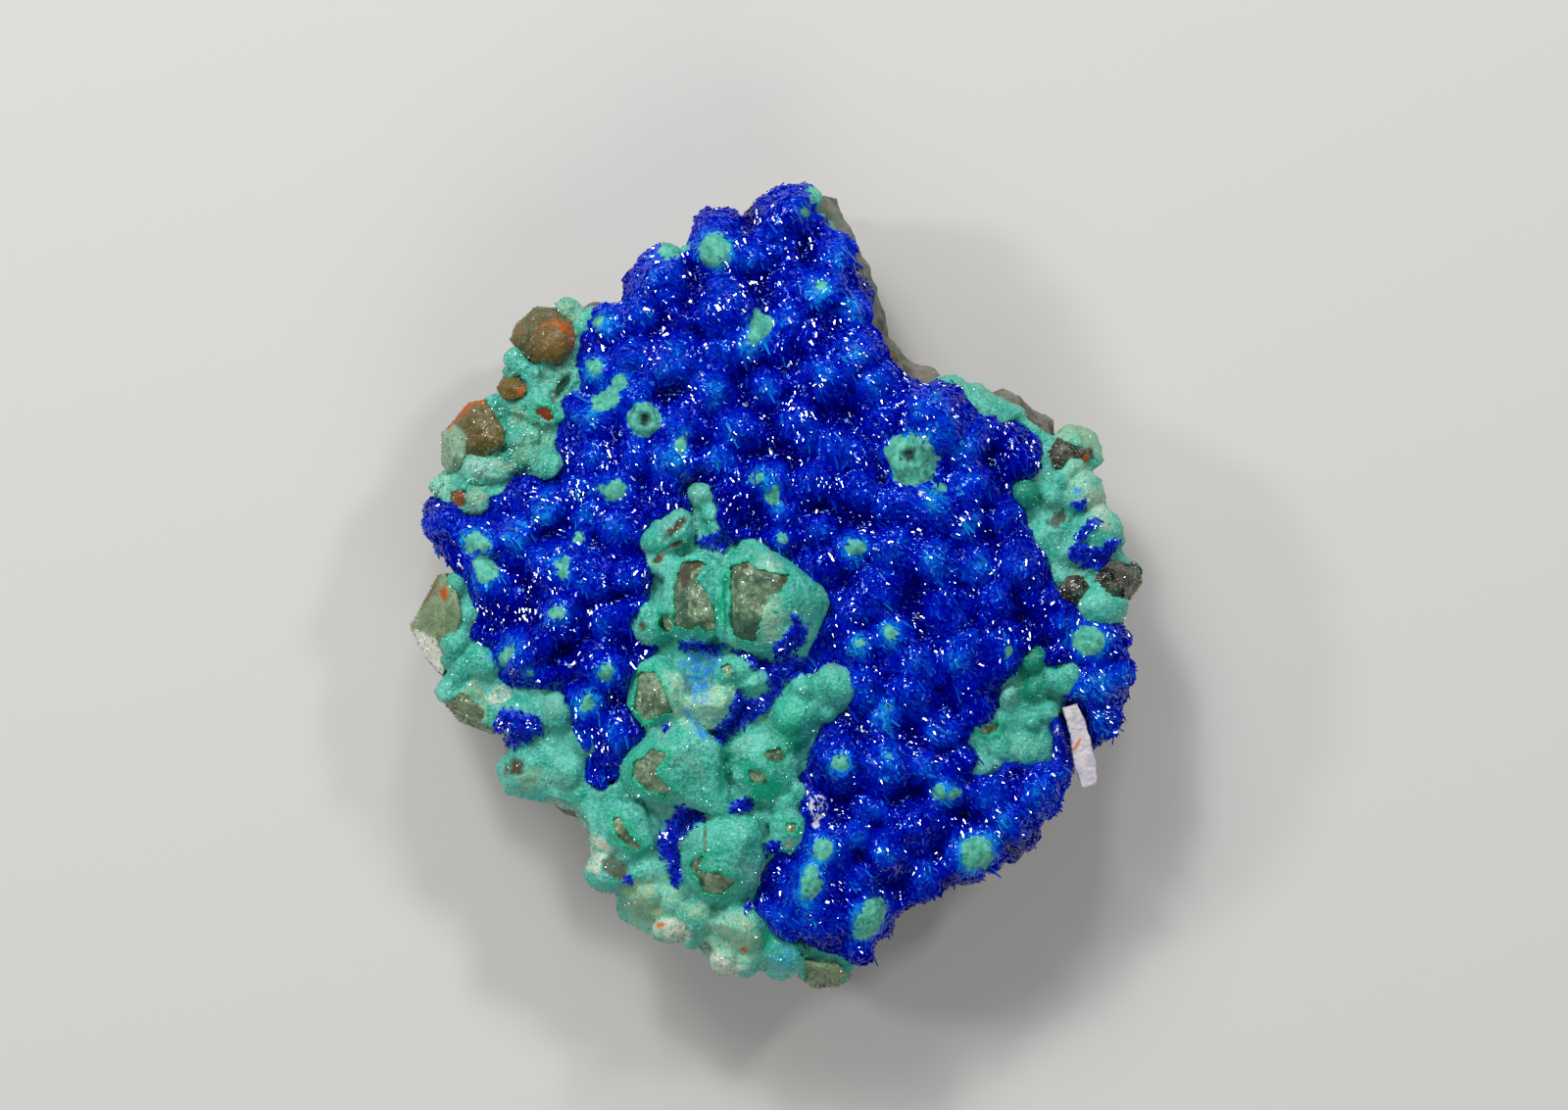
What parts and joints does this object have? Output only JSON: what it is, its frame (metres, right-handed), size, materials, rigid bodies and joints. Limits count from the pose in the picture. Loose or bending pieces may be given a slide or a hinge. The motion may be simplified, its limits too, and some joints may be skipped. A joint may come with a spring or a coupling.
{
  "type": "linarite specimen",
  "caption": "Mineral specimen: a knobbly deep blue linarite crust and turquoise green coated quartz crystals on a flat-backed piece of quartz rock.",
  "frame": {"origin": "under the middle of the specimen's outline, on the flat back that it rests on", "axes": "+Z out of the crusted front, +Y towards the pointed top edge, +X to the right of the front"},
  "size_m": [0.0388, 0.0416, 0.013],
  "materials": {
    "quartz_matrix": "rough grey-beige drusy quartz rock",
    "linarite": "deep ultramarine, glossy blades that sparkle, lighter on the mound tops",
    "green_crust": "waxy turquoise green coat with fine grain and brighter green rims",
    "stained_quartz": "glossy quartz stained brown and orange by iron",
    "pale_quartz": "glossy olive-tinted quartz",
    "smoky_quartz": "glossy dark smoky quartz",
    "window_quartz": "glossy olive-brown quartz seen through openings in the green coat",
    "white_blade": "matt white with an orange streak"
  },
  "bodies": {
    "root": {"quartz_matrix": "quartz_matrix", "linarite_crust": "linarite", "green_crust_upper_left": "green_crust", "green_crust_lower": "green_crust", "green_crust_right": "green_crust", "green_crust_pocket": "green_crust", "stained_quartz_top": "stained_quartz", "stained_quartz_middle": "stained_quartz", "stained_quartz_left": "stained_quartz", "pale_quartz_left_point": "pale_quartz", "pale_quartz_lower_left": "pale_quartz", "bottom_quartz": "pale_quartz", "smoky_quartz_right": "smoky_quartz", "smoky_quartz_right_inner": "smoky_quartz", "smoky_quartz_right_upper": "smoky_quartz", "window_quartz_upper_left": "window_quartz", "window_quartz_upper_right": "window_quartz", "window_quartz_left": "window_quartz", "window_quartz_middle": "window_quartz", "window_quartz_lower": "window_quartz", "white_blade": "white_blade"}
  },
  "joints": []
}
